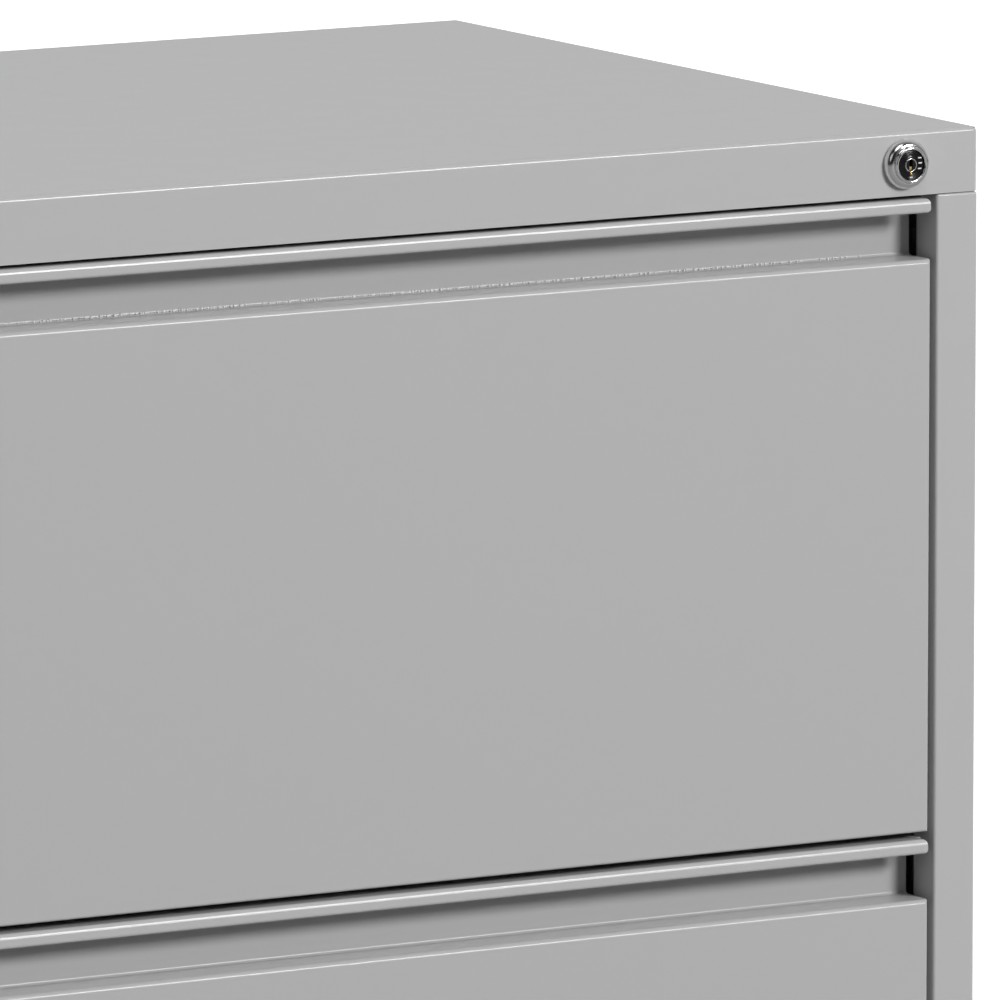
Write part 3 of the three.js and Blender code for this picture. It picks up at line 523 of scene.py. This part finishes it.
# lock: sizes in mm, radius and stand-out from the front of the top rail
lock = {
    "centre": (0.417, -0.241475, 0.70545),
    "steps": 96,
    "smallSteps": 32,
    "bore": 7.05,
    "barrel": 9.15,
    "barrelEnd": -20.0,
    "thread": (-19.0, -7.0, 0.6, 0.3),  # from, to, pitch, depth
    "flange": [(9.15, 0.03), (11.1, 0.03), (11.1, 0.3), (11.7, 0.32), (11.86, 0.48), (11.82, 0.72)],
    "dome": (8.75, 3.05, 0.8, 3.9),  # inner radius, width, foot, rise
    "domeSteps": 14,
    "ring": [(8.52, 4.66), (8.43, 4.8), (8.42, 5.9), (8.36, 6.16), (8.2, 6.36), (7.95, 6.44),
             (7.6, 6.44), (7.36, 6.34), (7.22, 6.12), (7.1, 5.2)],
    "face": 5.45,
    "faceGap": 0.1,
    "faceEdge": [(0.0, 0.5), (0.12, 0.15), (0.4, 0.0)],  # in from the rim, back from the face
    "stub": (3.5, 0.2),  # radius, gap behind the barrel
    "grooves": (6.1, 5.5, 4.9, 4.3),
    "grooveCut": (0.16, 0.12),  # half width, depth
    "collar": [(3.2, 0.0), (3.14, 0.16), (3.0, 0.26), (2.84, 0.26), (2.7, 0.16), (2.64, 0.0)],
    "keyway": (0.85, 2.5, 9.0),  # half width, half height, depth
    "keywayRim": (1.06, 0.12),
    "wafers": [(-1.5, 0.5), (-1.8, 1.6), (-1.4, 2.7)],  # height, depth
    "waferGap": 0.08,
    "waferHalf": 0.85,
    "waferProfile": [(1, -0.5), (1, -0.08), (0.9, 0)],
    "stopPin": (0.0, -4.0, 0.5, 0.62),  # across, up, half width, half height
    "pinProfile": [(1, -0.2), (1, 0.1), (0.8, 0.22)],
    "pinTip": (0.3, 0.26),
    "ticks": [(4.7, 3.2, 0.95), (5.0, 0.75, 0.95), (4.7, -1.8, 0.95), (0.1, -5.75, 0.75)],
    "tickHalf": 0.3,
    "tickProfile": [(1, -0.05), (1, 0.03), (0.94, 0.06)],
    "looks": ["lockBlack", "lockChrome", "keyBrass", "markWhite"],
}


def makeLockBezel(spec):
    shape = bmesh.new()
    low, high, pitch, deep = spec["thread"]
    profile = [(spec["bore"], spec["barrelEnd"]), (spec["barrel"] - deep, spec["barrelEnd"])]
    for turn in range(int((high - low) / pitch)):
        crest = low + turn * pitch
        profile += [(spec["barrel"] - deep, crest), (spec["barrel"], crest + pitch / 2)]
    profile += spec["flange"]
    inner, wide, foot, rise = spec["dome"]
    for step in range(1, spec["domeSteps"] + 1):
        lift = step / spec["domeSteps"] * math.pi / 2
        profile.append((inner + wide * math.cos(lift), foot + rise * math.sin(lift)))
    profile += spec["ring"]
    place = facing(spec["centre"], (0, -1, 0))
    addShell(shape, turnedRings(profile, spec["steps"], place), loop=True)
    addPiece("lock_bezel", "case", shape, ["lockChrome"], "lock_housing")


def makeLockFace(spec):
    shape = bmesh.new()
    place = facing(spec["centre"], (0, -1, 0))
    black, chrome, brass, white = range(len(spec["looks"]))
    face, edge = spec["face"], spec["bore"] - spec["faceGap"]

    def addSmall(across, height, lift, profile, look):
        spot = place @ Matrix.Translation(Vector((across, height, face + lift)) * mm)
        addShell(shape, turnedRings(profile, spec["smallSteps"], spot), [look] * (len(profile) - 1))

    stubEnd = (spec["centre"][1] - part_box("lock_plug")[1].y) / mm
    stub, gap = spec["stub"]
    rear = spec["barrelEnd"] - gap
    profile = [(stub, stubEnd), (stub, rear), (edge, rear)]
    profile += [(edge - inset, face - drop) for inset, drop in spec["faceEdge"]]
    half, deep = spec["grooveCut"]
    for groove in spec["grooves"]:
        profile += [(groove + half, face), (groove, face - deep), (groove - half, face)]
    blackBands = len(profile)
    profile += [(radius, face + lift) for radius, lift in spec["collar"]]
    slotX, slotZ, slotDeep = spec["keyway"]
    rimWide, rimDeep = spec["keywayRim"]
    keyway = [(rimWide, face), (1.0, face - rimDeep), (1.0, face - slotDeep)]
    profile += shaped(keyway, barOutline(slotX, slotZ))
    bands = [black] * blackBands + [chrome] * (len(spec["collar"]) - 1) + [black] * len(keyway)
    addShell(shape, turnedRings(profile, spec["steps"], place), bands)

    leaf = shaped(spec["waferProfile"], barOutline(slotX - spec["waferGap"], spec["waferHalf"]))
    for height, depth in spec["wafers"]:
        addSmall(0, height, -depth, leaf, brass)
    pinX, pinZ, halfX, halfZ = spec["stopPin"]
    pin = shaped(spec["pinProfile"], barOutline(halfX, halfZ)) + [spec["pinTip"]]
    addSmall(pinX, pinZ, 0, pin, brass)
    for across, height, length in spec["ticks"]:
        stroke = shaped(spec["tickProfile"], barOutline(length, spec["tickHalf"]))
        addSmall(across, height, 0, stroke, white)
    addPiece("lock_face", "plug", shape, spec["looks"], "lock_plug")


makeLockBezel(lock)
makeLockFace(lock)
print("lock made")

# glides: moulded foot, jam nut and threaded stem, sizes in mm
glides = {
    "corners": ("front_left", "front_right", "rear_left", "rear_right"),
    "steps": 72,
    "foot": [(12.4, 0.0), (14.7, 0.15), (15.6, 0.8)],
    "grip": [(15.9, 1.6), (15.9, 3.4)],
    "ribs": (24, 0.014),  # count, half depth as a part of the radius
    "shoulder": [(15.3, 4.5), (13.4, 5.4), (11.2, 6.3), (10.8, 6.9), (7.2, 7.0)],
    "nut": (6.4, 7.1, 10.4),  # half across the flats, bottom, top
    "nutBevel": (0.4, 0.3),
    "nutGap": 0.05,
    "thread": (11.0, 44.5, 1.5, 4.7, 4.2),  # from, to, pitch, crest, root
    "crest": (0.4, 0.6),  # as parts of the pitch
    "tip": [(4.1, 45.2), (3.4, 46.0)],
}


def ribbedOutline(radius, angle):
    count, depth = glides["ribs"]
    return radius * (1 - depth * (1 - math.cos(count * angle)))


def makeGlides(spec):
    flats, nutLow, nutHigh = spec["nut"]
    bevelIn, bevelUp = spec["nutBevel"]
    low, high, pitch, crest, root = spec["thread"]
    crestLow, crestHigh = spec["crest"]
    profile = spec["foot"] + shaped(spec["grip"], ribbedOutline) + spec["shoulder"]
    nylon = len(profile)
    nutSides = [(flats, nutLow + bevelUp), (flats, nutHigh - bevelUp)]
    profile += [(flats - bevelIn, nutLow), *shaped(nutSides, hexOutline)]
    profile += [(flats - bevelIn, nutHigh), (root, nutHigh + spec["nutGap"])]
    for turn in range(int((high - low) / pitch)):
        start = low + turn * pitch
        profile += [(root, start), (crest, start + pitch * crestLow)]
        profile.append((crest, start + pitch * crestHigh))
    profile += spec["tip"]
    bands = [0] * nylon + [1] * (len(profile) - 1 - nylon)
    for corner in spec["corners"]:
        low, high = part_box(corner + "_glide")
        shape = bmesh.new()
        place = Matrix.Translation(((low.x + high.x) / 2, (low.y + high.y) / 2, 0))
        addShell(shape, turnedRings(profile, spec["steps"], place), bands)
        addPiece(corner + "_levelling_foot", corner + "_foot", shape, ["glideNylon", "zinc"],
                 corner + "_glide")


makeGlides(glides)
print("glides made")

# small fixings: profiles in mm, places in metres from the drawers' own corners
fixings = {
    "rivet": [(3.1, -0.2), (3.1, 0.15), (2.9, 0.45), (2.3, 0.8), (1.5, 0.98), (0.95, 1.0),
              (0.8, 0.45)],
    "rivetSteps": 32,
    "rivetPlaces": (0.060, 0.230, 0.400),
    "rivetHeight": 0.0902,
    "screw": [(3.6, -0.2), (3.7, 0.3), (3.62, 1.1), (3.1, 1.75), (2.3, 2.05)],
    "screwCross": [(1.95, 2.1), (1.75, 1.6), (0.9, 0.8)],
    "screwSteps": 48,
    "screwAcross": (-0.36, -0.12, 0.12, 0.36),
    "screwHeights": (0.050, 0.200),
    "weld": [(2.9, -0.05), (2.8, 0.07), (2.2, 0.13), (1.6, 0.09), (1.0, 0.02)],
    "weldSteps": 28,
    "weldRange": (0.060, 0.660, 9),  # first height, last height, count
    "weldInset": 0.0075,
    "frontPlane": -0.241475,
    "sheet": 0.0009,
}


def makeDrawerFixings(spec, drawer):
    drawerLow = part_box(drawer + "_front")[0].z
    shape = bmesh.new()
    for side, sign in (("left", -1), ("right", 1)):
        wallLow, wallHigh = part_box(drawer + "_" + side + "_side")
        wall = sign * (max(abs(wallLow.x), abs(wallHigh.x)) - spec["sheet"])
        for deep in spec["rivetPlaces"]:
            spot = (wall, spec["frontPlane"] + deep, drawerLow + spec["rivetHeight"])
            place = facing(spot, (-sign, 0, 0))
            addShell(shape, turnedRings(spec["rivet"], spec["rivetSteps"], place))
    addPiece(drawer + "_rivets", drawer, shape, ["zinc"])
    shape = bmesh.new()
    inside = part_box(drawer + "_liner")[0].y + spec["sheet"]
    screw = spec["screw"] + shaped(spec["screwCross"], crossOutline)
    for across in spec["screwAcross"]:
        for height in spec["screwHeights"]:
            place = facing((across, inside, drawerLow + height), (0, 1, 0))
            addShell(shape, turnedRings(screw, spec["screwSteps"], place))
    addPiece(drawer + "_liner_screws", drawer, shape, ["zinc"])


def makeWelds(spec):
    shape = bmesh.new()
    first, last, count = spec["weldRange"]
    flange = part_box("right_side_panel")[1]
    for side in (-1, 1):
        for i in range(count):
            height = first + (last - first) * i / (count - 1)
            place = facing((side * (flange.x - spec["weldInset"]), flange.y, height), (0, 1, 0))
            addShell(shape, turnedRings(spec["weld"], spec["weldSteps"], place))
    addPiece("rear_weld_marks", "case", shape, ["casePaintLighterAsPaintedLight"])


for drawerName in ("upper_drawer", "lower_drawer"):
    makeDrawerFixings(fixings, drawerName)
makeWelds(fixings)
print("fixings made")

# balls of the slides, ten in each row of a cage, radius in mm
slideBalls = {"radius": 1.53, "row": 10, "margin": 0.014, "sheet": 0.0006, "steps": 16, "rings": 10}


def makeBalls(spec, level, cage):
    shape = bmesh.new()
    radius = spec["radius"]
    turns = [math.pi * i / spec["rings"] for i in range(1, spec["rings"])]
    profile = [(radius * math.sin(turn), -radius * math.cos(turn)) for turn in turns]
    for side, sign in (("left", -1), ("right", 1)):
        low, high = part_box(f"{level}_{side}_slide_{cage}_ball_cage")
        across = (low.x + high.x) / 2 - sign * spec["sheet"] / 2
        run = high.y - low.y - 2 * spec["margin"]
        for height in (low.z + radius * mm, high.z - radius * mm):
            for i in range(spec["row"]):
                along = low.y + spec["margin"] + run * i / (spec["row"] - 1)
                place = Matrix.Translation((across, along, height))
                addShell(shape, turnedRings(profile, spec["steps"], place))
    addPiece(f"{level}_{cage}_balls", f"{level}_{cage}_cages", shape, ["ballSteel"])


for levelName in ("upper", "lower"):
    for cageName in ("outer", "inner"):
        makeBalls(slideBalls, levelName, cageName)
print("slide balls made")

# grains of paint that gathered in the crease of the upper finger recess, their size in mm; they are
# coloured paler than the paint as painted glints
crease = {
    "seed": 11,
    "depth": 0.0196,
    "rise": 0.2732,
    "halfLength": 0.40,
    "clusters": 260,
    "grains": 4,
    "spread": 0.004,
    "jitter": 0.0002,
    "size": (0.26, 0.72),
    "profile": [(1, -0.6), (1, 0), (0.8, 0.5), (0.35, 0.8)],
    "steps": 10,
}


def makeCrease(spec, drawer):
    chance = random.Random(spec["seed"])
    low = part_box(drawer + "_front")[0]
    shape = bmesh.new()
    smallest, largest = spec["size"]
    for _ in range(spec["clusters"]):
        middle = spec["halfLength"] * (2 * chance.random() - 1)
        for _ in range(spec["grains"]):
            size = smallest + (largest - smallest) * chance.random() ** 2
            deep = low.y + spec["depth"] + chance.gauss(0, spec["jitter"])
            spot = (chance.gauss(middle, spec["spread"]), deep, low.z + spec["rise"])
            profile = [(size * wide, size * tall) for wide, tall in spec["profile"]]
            addShell(shape, turnedRings(profile, spec["steps"], facing(spot, (0, -1, 1))))
    addPiece(drawer + "_crease_grains", drawer, shape, ["creaseGrainPaintedGlint"])


makeCrease(crease, "upper_drawer")
print("crease grains made")
